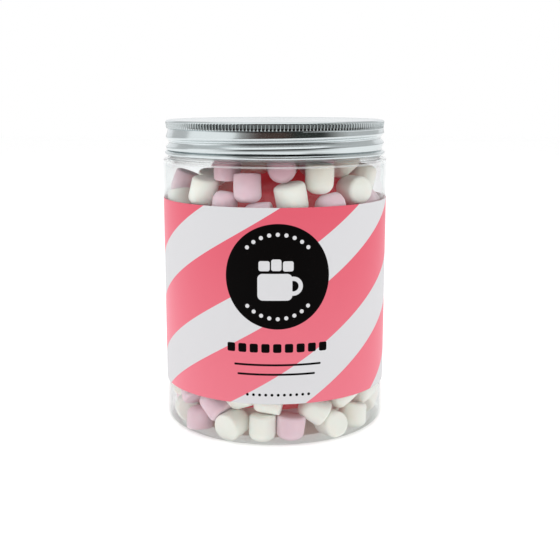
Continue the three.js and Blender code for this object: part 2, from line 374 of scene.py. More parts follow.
def labelMaterial():
    look = Look("label_print")
    u, v, outer = look.split(look.attribute("labelPlace", "Vector"))
    p, art = labelLook, labelPrints

    def ink(distance):
        return look.clamp(0.5 - distance / p["softness"])

    def both(first, second):
        return look.math("MAXIMUM", first, second)

    def box(across, place):
        return ink(roundedBox(look, across, v, *place))

    def toNearest(middle, step):
        # How far u is from the nearest of a row of places
        return (look.math("FRACT", (u - middle) / step + 20.5) - 0.5) * step

    def inRow(middle, step, number):
        return look.math("LESS_THAN", look.math("ABSOLUTE", u - middle), step * number / 2)

    # Stripes: slanted bands with a slow wave in them
    wave = look.math("COSINE", (u - p["waveAt"]) * (2 * math.pi / p["waveLength"]))
    rise = v - u * p["rise"] - wave * p["wave"] - p["firstWhite"]
    turn = look.math("FRACT", rise / p["period"] - p["whiteShare"] / 2 + 20.5)
    away = look.math("ABSOLUTE", turn - 0.5)
    slant = math.cos(math.atan(p["rise"]))
    white = ink((away - p["whiteShare"] / 2) * (p["period"] * slant))

    # Disc with a plain mug, three marshmallows over it, and two arcs of dots
    disc = ink(circle(look, u, v, art["discMiddle"], art["discRadius"]))
    ear = look.math("ABSOLUTE", circle(look, u, v, art["ear"], art["earRadius"])) - art["earHalf"]
    picture = both(box(u, art["mug"]), ink(ear))
    for sweet in art["sweets"]:
        picture = both(picture, box(u, sweet))
    x, y = u - art["discMiddle"][0], look.math("ABSOLUTE", v - art["discMiddle"][1])
    bearing = look.math("ARCTAN2", x, y)
    step = math.radians(art["arcStep"])
    nearest = look.math("ROUND", bearing / step) * step
    fromX = x - look.math("SINE", nearest) * art["arcRadius"]
    fromY = y - look.math("COSINE", nearest) * art["arcRadius"]
    dot = look.math("SQRT", fromX * fromX + fromY * fromY) - art["arcDotRadius"]
    withinArc = look.math("LESS_THAN", look.math("ABSOLUTE", bearing), step * art["arcDots"] / 2)
    picture = both(picture, ink(dot) * withinArc)

    # Below the disc: a row of rounded squares, two thin rules and a row of dots
    squares = box(toNearest(*art["squareRow"][:2]), art["square"]) * inRow(*art["squareRow"])
    rules = both(*(box(u, rule) for rule in art["rules"]))
    pip = ink(circle(look, toNearest(*art["pipRow"][:2]), v, art["pip"], art["pipRadius"]))
    marks = both(both(squares, rules), pip * inRow(*art["pipRow"]))

    # Painted light: the pink is deepest high up in front and paler downwards and towards the sides, as the
    # light falls
    aside = (u - p["deepestAt"][0]) * (u - p["deepestAt"][0])
    paler = aside * aside * p["paleAside"] + (p["deepestAt"][1] - v) * p["paleDown"]
    pink = look.mix(look.clamp(paler), p["pink"], p["pinkPale"])
    colour = look.mix(white, pink, p["white"])
    colour = look.mix(both(disc, marks), colour, p["black"])
    colour = look.mix(picture * disc, colour, p["white"])
    colour = look.mix(outer, p["inside"], colour)
    grain = look.noise(2600, 2)
    slow = look.noise(42, 2)
    inputs = {
        "Base Color": colour,
        "Roughness": 0.36 + grain * 0.1,
        "Specular IOR Level": 0.03,
        "Normal": look.bump(grain * 0.05 + slow, 0.00035, 0.35),
    }
    return look.finish(inputs)


def sweetMaterial(name, tone):
    # Soft foam under fine powder: light goes a little way in, the skin has small pores, and the top
    # of the heap is duller, in the shade of the lid
    look = Look(name)
    p = sweetLook
    patches = look.noise(130, 3, distortion=0.4)
    powder = look.noise(2400, 4)
    pores = look.noise(900, 2)
    height = look.split(look.place())[2]
    under = look.clamp((height - p["shadeFrom"] * mm) / (p["shadeFade"] * mm)) * p["shadeMost"]
    colour = look.mix(look.clamp(patches * 1.6 - 0.3), p[tone], p[tone + "Deep"])
    inputs = {
        "Base Color": look.mix(under, colour, p[tone + "Shade"]),
        "Roughness": powder * 0.2 + 0.7,
        "Specular IOR Level": 0.25,
        "Subsurface Weight": 0.6,
        "Subsurface Radius": (1.0, 0.75, 0.7),
        "Subsurface Scale": p["depth"] * mm,
        "Sheen Weight": 0.15,
        "Sheen Roughness": 0.5,
        "Normal": look.bump(powder * 0.5 + pores, 0.00012, 0.6),
    }
    return look.finish(inputs)


def coreMaterial():
    # Packed marshmallows with their deep shade painted in: dark rose, darkest on the left, paler at the
    # base, with a faint painted glow
    look = Look("packed_core")
    p = coreLook
    x, _, height = look.split(look.place())
    upper = look.clamp((height - p["upperFrom"] * mm) / (p["upperFade"] * mm))
    left = look.clamp((p["leftFrom"] * mm - x) / (p["leftFade"] * mm))
    lumps = look.noise(120, 3)
    high = look.mix(left, look.mix(lumps, *p["high"]), p["left"])
    glow = look.mix(left, look.mix(lumps, *p["highGlow"]), p["leftGlow"])
    inputs = {
        "Base Color": look.mix(upper, look.mix(lumps, *p["low"]), high),
        "Roughness": 0.85,
        "Specular IOR Level": 0.1,
        # Painted light: the core glows faintly, though it is no lamp
        "Emission Color": look.mix(upper, p["lowGlow"], glow),
        "Emission Strength": p["glow"],
    }
    return look.finish(inputs)


plastic = plasticMaterial()
lidMetal = lidMaterial()
labelPrint = labelMaterial()
pinkSweet = sweetMaterial("marshmallow_pink", "pink")
whiteSweet = sweetMaterial("marshmallow_white", "white")
coreShade = coreMaterial()
print("materials made")


# Jar

jarParts = {
    "wall": 0.9,
    "base": 0.55,
    "cornerReach": 5,
    "cornerRise": 4,
    "ringInner": 36,
    "pushUp": 1.8,
    "shoulder": 119.7,
    "shoulderRound": 1.0,
    "neck": 46.4,
    "neckThickness": 1.3,
    "rimRound": 0.5,
    "undercut": 118.3,
    "basePaintedShade": 0.3,  # a painted line: dark painted shade above nought, a pale painted highlight below it
    "shoulderPaintedHighlight": -0.35,
    "shoulderPaintedShade": 0.3,
    "stepPaintedHighlight": -0.45,
    "stepPaintedShade": 0.12,
    "footPaintedHighlight": -0.35,
    "neckPaintedHighlights": (-0.46, -0.44),
    "steps": 192,
}


def jarProfile():
    # Radius, height and the painted line in the plastic there: painted shade where positive, a painted
    # highlight where negative
    p = jarParts
    radius, wall = jarRadius, p["wall"]
    corner = (radius - p["cornerReach"], p["cornerRise"])
    shoulder = (radius - p["shoulderRound"], p["shoulder"] - p["shoulderRound"])
    neck, inner = p["neck"], p["neck"] - p["neckThickness"]
    rim = p["rimRound"]
    raised = [[r, p["pushUp"] * (1.15 - 0.35 * (r / 33) ** 2)] for r in np.linspace(4, 31, 8)]
    outside = [[0, p["pushUp"]], [2.4, p["pushUp"]], [3.2, p["pushUp"] + 0.2]] + raised
    outside += [[33.5, 1.05], [34.8, 0.35], [p["ringInner"], 0.03], [p["ringInner"] + 0.5, 0]]
    bend = arc(corner, (p["cornerReach"], p["cornerRise"]), -90, 0, 14)
    outside += [(r, z, p["basePaintedShade"] * float(smoothStep((1.5 - z) / 0.9))) for r, z in bend]
    outside += [[radius, z] for z in np.linspace(8, shoulder[1] - 1, 12)]
    outside += [(radius, shoulder[1] - d, p["shoulderPaintedHighlight"]) for d in (0.7, 0.1)]
    outside += arc(shoulder, (p["shoulderRound"],) * 2, 5, 60, 5)
    edge = outside[-1]
    level = p["shoulder"]
    outside += [(edge[0] - 0.15, edge[1] + 0.05, p["shoulderPaintedShade"])]
    outside += [(edge[0] - 0.35, edge[1] + 0.1, p["shoulderPaintedShade"])]
    outside += [(edge[0] - 0.5, edge[1] + 0.12, p["stepPaintedHighlight"]), (48.0, level + 0.02, p["stepPaintedHighlight"])]
    outside += [(47.8, level + 0.1, p["stepPaintedShade"]), (47.5, level + 0.3, p["stepPaintedShade"])]
    outside += [(47.3, level + 0.5, p["footPaintedHighlight"]), (neck + 0.1, level + 0.9, p["neckPaintedHighlights"][0])]
    outside += [(neck, level + 1.5, p["neckPaintedHighlights"][1]), (neck, jarTop - rim)]
    outside += arc((neck - rim, jarTop - rim), (rim, rim), 0, 90, 4)[1:]
    inside = arc((inner + rim, jarTop - rim), (rim, rim), 90, 180, 4)
    inside += [[inner, 126], [inner, p["undercut"] + 1.2]]
    inside += [(inner + 0.15, p["undercut"] + 0.6, 0.1), (inner + 0.5, p["undercut"] + 0.2, 0.14)]
    inside += [(inner + 1.0, p["undercut"], 0), (radius - wall - 0.6, p["undercut"] - 0.5, 0)]
    inside += [(radius - wall - 0.1, p["undercut"] - 1.2, 0)]
    inside += [[radius - wall, z] for z in np.linspace(p["undercut"] - 2.2, 8, 12)]
    base = p["base"]
    inside += arc(corner, (p["cornerReach"] - wall, p["cornerRise"] - base), 0, -90, 12)
    inside += [[p["ringInner"] + 0.4, base], [34.4, base + 0.4], [33.2, base + 1.05]]
    inside += [[r, base + z] for r, z in raised[::-1]]
    profile = outside + inside + [[0, base + p["pushUp"] * 1.15]]
    return np.array([(*point, 0)[:3] for point in profile])


def makeJar():
    profile = jarProfile()
    steps = jarParts["steps"]
    angle = np.arange(steps) * 2 * math.pi / steps
    grid = around(profile[1:-1, :1], angle, profile[1:-1, 1:2])
    jar = closedGrid("jar_shell", grid, profile[0, 1], profile[-1, 1], plastic, 40)
    # Each row of the jar carries its painted line of shade or highlight
    addValues(jar, "paintedLine", np.append(np.repeat(profile[1:-1, 2], steps), [0, 0]))
    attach(jar, "root")
    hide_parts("jar")


makeJar()
print("jar made")


# Lid

lidParts = {
    "edgeRound": 1.0,
    "bandRadius": 48.8,
    "bandFoot": 48.45,
    "bandBottom": 132.75,
    "bandRise": 2.4,
    "teeth": 200,
    "toothDepth": 0.45,
    "toothTop": 135.45,
    "toothBottom": 132.55,
    "toothPhases": (-0.5, -0.45, -0.36, 0, 0.36, 0.45),  # shares of a tooth, from the middle of its slot
    "slotHalf": 0.45,
    "slotEdge": 0.09,
    "slotPoint": 1.1,
    "slotFoot": 0.35,
    "slotHead": 0.25,
    "slotFades": ((-1.25, 0.75, 0.9), (1.2, 0.8, 0.6)),  # angle, half width and how much is lost
    "grooveRadius": 48.1,
    "grooveSlant": 0.4,
    "grooveTop": 132.4,
    "wallRadius": 47.3,
    "crestRadius": 48.75,
    "threadPitch": 4.5,
    "frontCrest": 125.4,
    "backFrom": 1.9,  # angles from the front, in radians
    "backOver": 0.9,
    "restartFrom": 1.75,
    "restartOver": 1.2,
    "creases": (  # height, half width and strength
        (132.56, 0.3, 0.9),
        (128.5, 0.25, 0.4),
        (127.55, 0.42, 1.0),
        (125.25, 0.4, 0.9),
        (123.0, 0.45, 0.8),
    ),
    "creaseReach": 0.672,
    "creaseFade": 0.48,
    "hemRadius": 49.2,
    "hemRound": 0.95,
    "bore": 46.75,
}
# Sections of the two turns of the ridge: height from the crest and share of the rise
upperTurn = [(-2.1, 0), (-1.75, 0.3), (-1.4, 0.3), (-0.35, 1), (0.1, 1), (1.85, 0)]
lowerTurn = [(-2.45, 0.45), (-1.9, 0.5), (-0.3, 1), (0.2, 1), (1.85, 0)]


def wallRows():
    # Heights of the rows of the wall in front: two beside each corner of the sections
    p = lidParts
    low = p["frontCrest"]
    corners = [low + s for s, _ in lowerTurn[1:]]
    corners += [low + p["threadPitch"] + s for s, _ in upperTurn[:-1]]
    middles = [low - 1.1, low + 1.0, low + p["threadPitch"] - 1.0]
    rows = sorted([c + d for c in corners for d in (-0.07, 0.07)] + middles)
    return rows + list(np.linspace(rows[-1] + 0.35, p["grooveTop"], 5))


def lidProfile():
    p = lidParts
    hem = (p["hemRadius"] - p["hemRound"], lidBottom + p["hemRound"])
    edge = (p["bandRadius"] - p["edgeRound"], lidTop - p["edgeRound"])
    points = [[0, lidTop - 1], [p["bore"] - 1, lidTop - 1], [p["bore"], lidTop - 1.6]]
    points += [[p["bore"], z] for z in (130, 125, hem[1] + 0.6)]
    points += arc(hem, (p["hemRound"],) * 2, 170, 275, 5)
    points += arc(hem, (p["hemRound"],) * 2, 290, 422, 9)
    points += [[p["wallRadius"] + 0.2, hem[1] + p["hemRound"] + 0.1]]
    points += [[p["wallRadius"], z] for z in wallRows()]
    fall = p["bandRadius"] - p["grooveRadius"]
    for share, up in ((0.06, 0.05), (0.5, 0.18)):
        points += [[p["grooveRadius"] + share * fall, p["grooveTop"] + up]]
    points += [[p["bandFoot"] - 0.06, p["bandBottom"] - 0.06]]
    lean = p["bandRadius"] - p["bandFoot"]
    for share in (0.02, 0.1, 0.25, 0.5, 0.75, 1):
        points += [[p["bandFoot"] + lean * share, p["bandBottom"] + p["bandRise"] * share]]
    points += arc(edge, (p["edgeRound"],) * 2, 0, 90, 8)
    points += [[46.9, lidTop - 0.02], [46.3, lidTop - 0.14], [44.5, lidTop - 0.16], [30, lidTop - 0.16]]
    return np.array(points + [[0, lidTop - 0.16]])


def threadedWall(angle, height):
    # Radius of the wall: two turns of a ridge that climbs one pitch each turn. Above the upper turn
    # the wall runs straight to the groove, which is shallower on the right.
    p = lidParts
    rise = p["crestRadius"] - p["wallRadius"]
    crest = p["frontCrest"] + p["threadPitch"] * angle / (2 * math.pi)
    low = p["wallRadius"] + rise * np.interp(height - crest, *np.array(lowerTurn).T)
    top = p["wallRadius"] + rise * np.interp(height - crest - p["threadPitch"], *np.array(upperTurn).T)
    edge = np.minimum(crest + p["threadPitch"] + 0.1, p["grooveTop"] - 0.1)
    groove = p["grooveRadius"] + p["grooveSlant"] * np.sin(angle)
    along = np.clip((height - edge) / (p["grooveTop"] - edge), 0, 1)
    straight = p["crestRadius"] + (groove - p["crestRadius"]) * along
    return np.where(height > edge, straight, np.maximum(low, top))


def creasePaintedShade(angle, height):
    # Painted shade and dark reflection in front, in the creases of the rolled wall
    p = lidParts
    marks = 0 * height
    for at, half, strength in p["creases"]:
        follow = at + p["threadPitch"] * angle / (2 * math.pi) if at < p["grooveTop"] else at
        marks = np.maximum(marks, strength * smoothStep((half - np.abs(height - follow)) / 0.1))
    return marks * smoothStep((p["creaseReach"] - np.abs(angle)) / p["creaseFade"])


def slotDepth(phase, height):
    # How far a point lies in a slot of the knurl, from 0 to 1: upright sides and a pointed lower end
    p = lidParts
    middle = smoothStep((p["slotHalf"] - np.abs(phase)) / p["slotEdge"])
    lower = smoothStep((height - p["toothBottom"] - np.abs(phase) * p["slotPoint"]) / p["slotFoot"])
    return middle * lower * smoothStep((p["toothTop"] - height) / p["slotHead"])


def makeLid():
    p = lidParts
    profile = lidProfile()
    phase = np.tile(p["toothPhases"], p["teeth"])
    angle = (np.repeat(np.arange(p["teeth"]), len(p["toothPhases"])) + phase) * 2 * math.pi / p["teeth"]
    angle = np.mod(angle + math.pi, 2 * math.pi) - math.pi
    height = profile[1:-1, 1:] + 0 * angle
    radius = profile[1:-1, :1] + 0 * angle
    # The rows of the wall follow the ridge in front and are level at the back, where it starts again
    rows = wallRows()
    start = int(np.argmin(np.abs(profile[1:-1, 1] - rows[0]) + (profile[1:-1, 0] != p["wallRadius"]) * 9))
    wall = slice(start, start + len(rows))
    level = np.array(rows)[:, None] + 0 * angle
    low, high = rows[0], rows[-1]
    near = np.clip(np.minimum(level - low, high - level) / 1.5, 0, 1)
    follow = level + near * p["threadPitch"] * angle / (2 * math.pi)
    even = np.linspace(low, high, len(rows))[:, None] + 0 * angle
    back = smoothStep((np.abs(angle) - p["backFrom"]) / p["backOver"])
    height[wall] = np.sort(follow * (1 - back) + even * back, axis=0)
    ahead = smoothStep((angle - p["restartFrom"]) / p["restartOver"])
    radius[wall] = threadedWall(angle, height[wall]) * (1 - ahead)
    radius[wall] += threadedWall(angle - 2 * math.pi, height[wall]) * ahead
    outer = radius > p["bore"] + 0.3
    onFall = outer & (height > p["grooveTop"]) & (height < p["bandBottom"])
    slant = p["grooveSlant"] * np.sin(angle)
    share = (p["bandRadius"] - radius) / (p["bandRadius"] - p["grooveRadius"])
    radius += onFall * slant * np.clip(share, 0, 1)
    pressedAndShaded = outer * slotDepth(phase, height)
    # The slots are pressed less deep towards the sides, most of all on the left, and their painted shade
    # fades with them where the lamps light the sides
    for middle, half, lost in p["slotFades"]:
        pressedAndShaded *= 1 - lost * smoothStep(1 - np.abs(angle - middle) / half)
    radius -= p["toothDepth"] * pressedAndShaded
    # The creases in front take painted shade as well
    pressedAndShaded = np.maximum(pressedAndShaded, outer * creasePaintedShade(angle, height))
    lid = closedGrid("lid_cap", around(radius, angle, height), profile[0, 1], profile[-1, 1], lidMetal, 50)
    addValues(lid, "pressedAndShaded", np.append(pressedAndShaded.ravel(), [0, 0]))
    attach(lid, "root")
    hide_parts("lid")


makeLid()
print("lid made")


# Label

labelParts = {
    "gap": 0.05,
    "thickness": 0.12,
    "overlap": 6,
    "lift": 0.06,
    "liftBefore": 2.2,  # shares of the overlap
    "liftOver": 0.8,
    "columns": 360,
    "rows": 24,
}


def makeLabel():
    # One long strip round the jar that starts and ends at the back, where its end lies on its start
    p = labelParts
    overlap = p["overlap"] / jarRadius
    half = math.pi + overlap / 2
    angle = np.linspace(-half, half, p["columns"])
    over = smoothStep((angle - half + p["liftBefore"] * overlap) / (p["liftOver"] * overlap))
    inner = jarRadius + p["gap"] + over * (p["thickness"] + p["lift"])
    outer = inner + p["thickness"]
    across = np.linspace(labelBottom, labelTop, p["rows"])
    r = np.concatenate([np.tile(outer, (p["rows"], 1)), np.tile(inner, (p["rows"], 1))])
    z = np.concatenate([across, across[::-1]])[:, None] + 0 * angle
    rows, cols = z.shape
    faces = gridFaces(rows, cols, True, False).tolist()
    first = np.arange(rows) * cols
    faces += [first.tolist(), (first + cols - 1)[::-1].tolist()]
    label = makeObject("label_wrap", around(r, angle, z), faces, labelPrint, 40)
    side = np.repeat([1.0, 0.0], p["rows"])[:, None] + 0 * angle
    place = np.stack([angle * jarRadius + 0 * z, z, side], -1)
    attribute = label.data.attributes.new("labelPlace", "FLOAT_VECTOR", "POINT")
    attribute.data.foreach_set("vector", place.astype(np.float32).ravel())
    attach(label, "root")
    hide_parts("label")


makeLabel()
print("label made")


# Marshmallows

sweetParts = {
    "radius": 6.2,
    "half": 6.5,
    "fitGap": 0.15,
    "wallGap": 0.3,
    "cornerRelief": 0.9,
    "cornerBall": 2.6,
    "endBalls": 6,
    "edgeBeyondBalls": 0.35,
    "relaxSteps": 160,
    "relaxShare": 0.3,
    "stepMost": 1,
    "nearby": 24,
    "floorRaised": 2.1,
    "neckFrom": 3,
    "frontHold": 0.2,
    "frontPull": 0.25,
    "placeJitter": 1.6,
    "seed": 4127,
    "pinkShare": 0.46,
    "endShare": 0.25,
    "endOut": 75,
    "sideOut": 70,
    "cutCorner": (0.7, 1.5),
    "domeCorner": (2.0, 3.2),
    "cutDome": (0.0, 0.3),
    "domeRise": (0.5, 1.3),
    "endShares": (0.35, 0.7, 0.9),
    "cornerRows": 6,
    "sideShares": (0.2, 0.5, 0.8),
    "columns": 28,
    "oval": 0.02,
    "threeSided": 0.012,
    "dent": 0.01,
    "bulge": 0.02,
    "taper": (-0.035, 0.035),
    "slant": (-0.08, 0.08),
}

# The front ones, placed one by one: angle round the jar, height, lean from upright, turn of the axis
# towards the wall, how far behind the wall, colour, width, length. The cut end points along the axis.
frontSweets = [
    (-75, 99.8, -22, 5, 0, "white", 11.8, 12.2),
    (-99, 106.8, 0, -20, 0, "pink", 11.6, 12.4),
    (-44.6, 107.0, 17, 0, 0, "white", 11.4, 12.0),
    (-57.3, 108.8, 12, 5, 10, "white", 11.6, 12),
    (-31.5, 118.2, 182, 0, 5, "pink", 11.6, 12.4),
    (-28.6, 101.6, 184, 5, 0, "pink", 10.8, 12.5),
    (-15.8, 109.3, -2, -5, 0, "pink", 11.5, 12.2),
    (-9.4, 97.7, 87, 0, 0, "pink", 11.4, 11.9),
    (4.2, 117.4, 0, -86, 3, "pink", 11.8, 12.5),
    (9.4, 104.7, -12, 3, 0, "white", 12.9, 13),
    (26.8, 112.9, -2, 8, 0, "white", 11.6, 13),
    (31.6, 101.2, 80, 0, 0, "pink", 11, 11.3),
    (54.5, 106.8, -90, 68, 0, "white", 12, 12.5),
    (79, 110, 20, 10, 3, "white", 11.8, 12.4),
    (55, 118.5, 60, 10, 8, "white", 12, 12.5),
    (36.5, 118, 40, 10, 11, "pink", 12, 12.5),
    (66.5, 99.5, 60, 30, 1, "pink", 11.8, 12.4),
    (-58.5, 18.6, 140, 5, 0, "pink", 11.4, 11.8),
    (-35.6, 15.2, 133, 5, 0, "pink", 11.7, 12.5),
    (-51.7, 5.8, 178, 5, 0.5, "pink", 11.3, 10),
    (-25.7, 6.8, -130, 76, 0, "white", 12.2, 12),
    (-23, 19.4, 70, 10, 2, "white", 12, 12.5),
    (-7.1, 6.4, 1, -6, 0, "white", 11.7, 11.6),
    (-3.7, 19.1, 97, 5, 0.5, "white", 12, 12.3),
    (9, 6.3, 6, 0, 0, "pink", 12, 10.8),
    (25.4, 13.2, 126, 15, 0, "white", 11.8, 12),
    (33, 6.6, 0, 85, 0, "white", 11.6, 12),
    (43.1, 18.9, 60, 10, 0, "white", 12, 12.5),
    (55, 6.3, 10, 0, 0, "white", 12, 11.2),
    (66, 15.5, 80, 10, 0, "white", 12, 12.4),
    (-86, 16.5, 100, 20, 0, "white", 11.8, 12.4),
    (-70, 7, 85, 10, 0, "white", 11.6, 12),
    (97, 112.5, 60, 10, 8, "pink", 11.8, 12.4),
]
# height, number, how far behind the wall, first and last angle
backArcs = [
    (7.6, 10, 0, 78, 280),
    (18.5, 10, 0.5, 82, 270),
    (102.5, 7, 0, 84, 224),
    (111.5, 6, 1, 110, 222),
    (119.5, 6, 5, 84, 222),
]
floorRings = [(28.5, 12), (15, 6), (0, 1)]  # radius, number
floorHeight = 9
innerRings = [(30, 21, 12), (22, 120, 9), (8, 120.5, 4)]  # radius, height, number

seed = sweetParts["seed"]


def draw():
    # A repeatable number between 0 and 1
    global seed
    seed = seed * 16807 % 2147483647
    return seed / 2147483647


def sweet(radius, angleDeg, height, leanDeg, outDeg, size, hold, colour=None):
    # One marshmallow: lean tilts its axis in the plane of the wall, out turns it towards the wall.
    # Its size is its radius and half its length.
    angle, lean, out = map(math.radians, (angleDeg, leanDeg, outDeg))
    outward = np.array([math.sin(angle), -math.cos(angle), 0])
    along = np.array([math.cos(angle), math.sin(angle), 0])
    axis = np.array([0, 0, math.cos(lean) * math.cos(out)])
    axis = axis + along * (math.sin(lean) * math.cos(out)) + outward * math.sin(out)
    place = outward * (radius - reach(outDeg, size)) + np.array([0, 0, height])
    found = {"place": place, "axis": axis, "radius": size[0], "half": size[1]}
    return {**found, "hold": hold, "colour": colour}


def reach(outDeg, size):
    # The distance from the middle of a marshmallow to its side that faces the wall
    out = math.radians(abs(outDeg))
    relief = sweetParts["cornerRelief"] * math.sin(2 * out)
    return size[1] * math.sin(out) + size[0] * math.cos(out) - relief


def randomSweet(radius, angleDeg, height):
    # One in four shows an end, and the others lie more along the wall
    p = sweetParts
    lean = 180 * draw()
    out = p["endOut"] if draw() < p["endShare"] else p["sideOut"] * (draw() - 0.5)
    size = (p["radius"] * (0.95 + 0.1 * draw()), p["half"] * (0.94 + 0.12 * draw()))
    return sweet(radius, angleDeg, height, lean, out, size, 1)


def arcSweets(radius, height, start, end, count):
    jitter = sweetParts["placeJitter"]
    found = []
    for k in range(count):
        angle = start + (end - start) * (k + 0.5) / count + jitter * (draw() - 0.5)
        found.append(randomSweet(radius, angle, height + jitter * (draw() - 0.5)))
    return found


def allSweets():
    p = sweetParts
    wall = jarRadius - jarParts["wall"] - p["wallGap"]
    found = []
    for angle, height, lean, out, behind, colour, width, length in frontSweets:
        size = (width / 2, length / 2)
        found.append(sweet(wall - behind, angle, height, lean, out, size, p["frontHold"], colour))
    for height, count, behind, start, end in backArcs:
        found += arcSweets(wall - behind, height, start, end, count)
    for radius, count in floorRings:
        found += arcSweets(radius + p["radius"], floorHeight, 0, 360, count)
    for radius, height, count in innerRings:
        found += arcSweets(radius + p["radius"], height, 0, 360, count)
    for one in found:
        one["colour"] = one["colour"] or ("pink" if draw() < p["pinkShare"] else "white")
    return found


def frames(axis):
    # Two directions across each axis
    side = np.cross([0.36, 0.48, 0.8], axis)
    side = side / np.linalg.norm(side, axis=1, keepdims=True)
    return side, np.cross(axis, side)


def settle(sweets):
    # Moves overlapping marshmallows apart a little at a time and keeps them inside the jar. Each
    # one is a large ball in the middle and a ring of small ones at each end.
    p = sweetParts
    place, axis = (np.array([s[key] for s in sweets]) for key in ("place", "axis"))
    radius, half, hold = (np.array([s[key] for s in sweets]) for key in ("radius", "half", "hold"))
    side, across = frames(axis)
    turn = np.pi * np.arange(2 * p["endBalls"]) / p["endBalls"]
    end = np.where(np.arange(2 * p["endBalls"]) % 2, 1, -1)
    ball = p["cornerBall"]
    offsets = axis[:, None] * ((half - ball)[:, None] * end)[..., None]
    offsets += side[:, None] * ((radius - ball)[:, None] * np.cos(turn))[..., None]
    offsets += across[:, None] * ((radius - ball)[:, None] * np.sin(turn))[..., None]
    offsets = np.concatenate([0 * offsets[:, :1], offsets], 1)
    sizes = np.full(offsets.shape[:2], ball)
    sizes[:, 0] = radius
    distance = np.linalg.norm(place[:, None] - place[None], axis=-1)
    first, second = np.nonzero(np.triu(distance < p["nearby"], 1))
    share = (hold[first] / (hold[first] + hold[second]))[:, None]
    reaches = sizes[first][:, :, None] + sizes[second][:, None, :]
    neck = jarParts["neck"] - jarParts["neckThickness"]
    wanted = place
    pull = (hold < 1)[:, None] * p["frontPull"]
    for _ in range(p["relaxSteps"]):
        shift = np.zeros_like(place)
        between = (place[first] - place[second])[:, None, None]
        gap = between + offsets[first][:, :, None] - offsets[second][:, None, :]
        length = np.linalg.norm(gap, axis=-1)
        overlap = np.maximum(reaches - length, 0) * p["relaxShare"]
        push = (gap * (overlap / length)[..., None]).sum((1, 2))
        np.add.at(shift, first, push * share)
        np.add.at(shift, second, push * (share - 1))
        at = place[:, None] + offsets
        flat = np.linalg.norm(at[..., :2], axis=-1)
        underNeck = at[..., 2] > jarParts["shoulder"] - p["neckFrom"]
        limit = np.where(underNeck, neck, jarRadius - jarParts["wall"])
        over = np.maximum(flat + sizes - limit + p["fitGap"] + p["edgeBeyondBalls"], 0)
        shift[:, :2] -= (at[..., :2] * (over * p["relaxShare"] / flat)[..., None]).sum(1)
        raised = np.where(flat < jarParts["ringInner"], p["floorRaised"], 0)
        floor = jarParts["base"] + p["fitGap"] + raised
        shift[:, 2] += (np.maximum(floor + sizes - at[..., 2], 0) * p["relaxShare"]).sum(1)
        shift += (wanted - place) * pull
        size = np.linalg.norm(shift, axis=1, keepdims=True)
        place = place + shift / np.maximum(size, p["stepMost"])
    return place, axis, radius, half, side, across


def sweetSurfaces(place, axis, radius, half, side, across, random, cut):
    # A soft drum. Its outline runs from the lower pole over an end, round a corner, up the side and
    # the same way back: the cut end is flat with a small corner, the other one domed with a large
    # corner. It is a little oval, tapered and dented, and both ends are slightly slanted.
    p = sweetParts
    count = len(place)

    def vary(limits):
        return random.uniform(*limits, (count, 1, 1))

    cut = cut[:, None, None]
    small, large = vary(p["cutCorner"]), vary(p["domeCorner"])
    flat, dome = vary(p["cutDome"]), vary(p["domeRise"])
    cornerLow, cornerHigh = np.where(cut > 0, large, small), np.where(cut > 0, small, large)
    domeLow, domeHigh = np.where(cut > 0, dome, flat), np.where(cut > 0, flat, dome)
    r, h = radius[:, None, None], half[:, None, None]
    low, high = -h + domeLow, h - domeHigh
    share = np.array(p["endShares"])[None, :, None]
    corner = np.radians(np.linspace(0, 90, p["cornerRows"]))[None, :, None]
    along = np.array(p["sideShares"])[None, :, None]
    out = [(r - cornerLow) * share, r - cornerLow + cornerLow * np.sin(corner), r + 0 * along]
    out += [r - cornerHigh + cornerHigh * np.cos(corner), (r - cornerHigh) * share[:, ::-1]]
    up = [low + 0 * share, low + cornerLow * (1 - np.cos(corner))]
    up += [(low + cornerLow) * (1 - along) + (high - cornerHigh) * along]
    up += [high - cornerHigh + cornerHigh * np.sin(corner), high + 0 * share]
    out, up = np.concatenate(out, 1), np.concatenate(up, 1)
    up = up + np.where(up > 0, domeHigh, -domeLow) * np.maximum(1 - (out / r) ** 2, 0)
    level = up / h
    turn = (np.arange(p["columns"]) * 2 * math.pi / p["columns"])[None, None, :]
    anyTurn = (0, 6.3)
    lobes = p["oval"] * np.sin(2 * turn + vary(anyTurn))
    lobes = lobes + p["threeSided"] * np.sin(3 * turn + vary(anyTurn) + 2 * level)
    dents = p["dent"] * np.sin(5 * turn + vary(anyTurn)) * np.sin(3 * level + vary(anyTurn))
    bulge = p["bulge"] * (1 - level**2)
    wide = out * (1 + bulge + vary(p["taper"]) * level + lobes + dents)
    slant = vary(p["slant"]) * np.cos(turn + vary(anyTurn))
    tall = up + wide * slant * np.abs(level) ** 3
    x, y = wide * np.cos(turn), wide * np.sin(turn)
    points = x[..., None] * side[:, None, None] + y[..., None] * across[:, None, None]
    points = points + tall[..., None] * axis[:, None, None] + place[:, None, None]
    tips = np.stack([place - axis * half[:, None], place + axis * half[:, None]], 1)
    return np.concatenate([points.reshape(count, -1, 3), tips], 1)


def makeSweets(name, chosen, settled, cut, material, random):
    p = sweetParts
    place, axis, radius, half, side, across = (part[chosen] for part in settled)
    points = sweetSurfaces(place, axis, radius, half, side, across, random, cut[chosen])
    cols = p["columns"]
    rows = (points.shape[1] - 2) // cols
    each = rows * cols
    quads = gridFaces(rows, cols, False, True)
    lowEnd = fanFaces(np.arange(cols), each, False)
    highEnd = fanFaces(np.arange(each - cols, each), each + 1, True)
    fans = np.concatenate([lowEnd, highEnd])
    starts = (np.arange(len(place)) * (each + 2))[:, None, None]
    faces = (quads + starts).reshape(-1, 4).tolist() + (fans + starts).reshape(-1, 3).tolist()
    sweets = makeObject(name, points, faces, material)
    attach(sweets, "root")


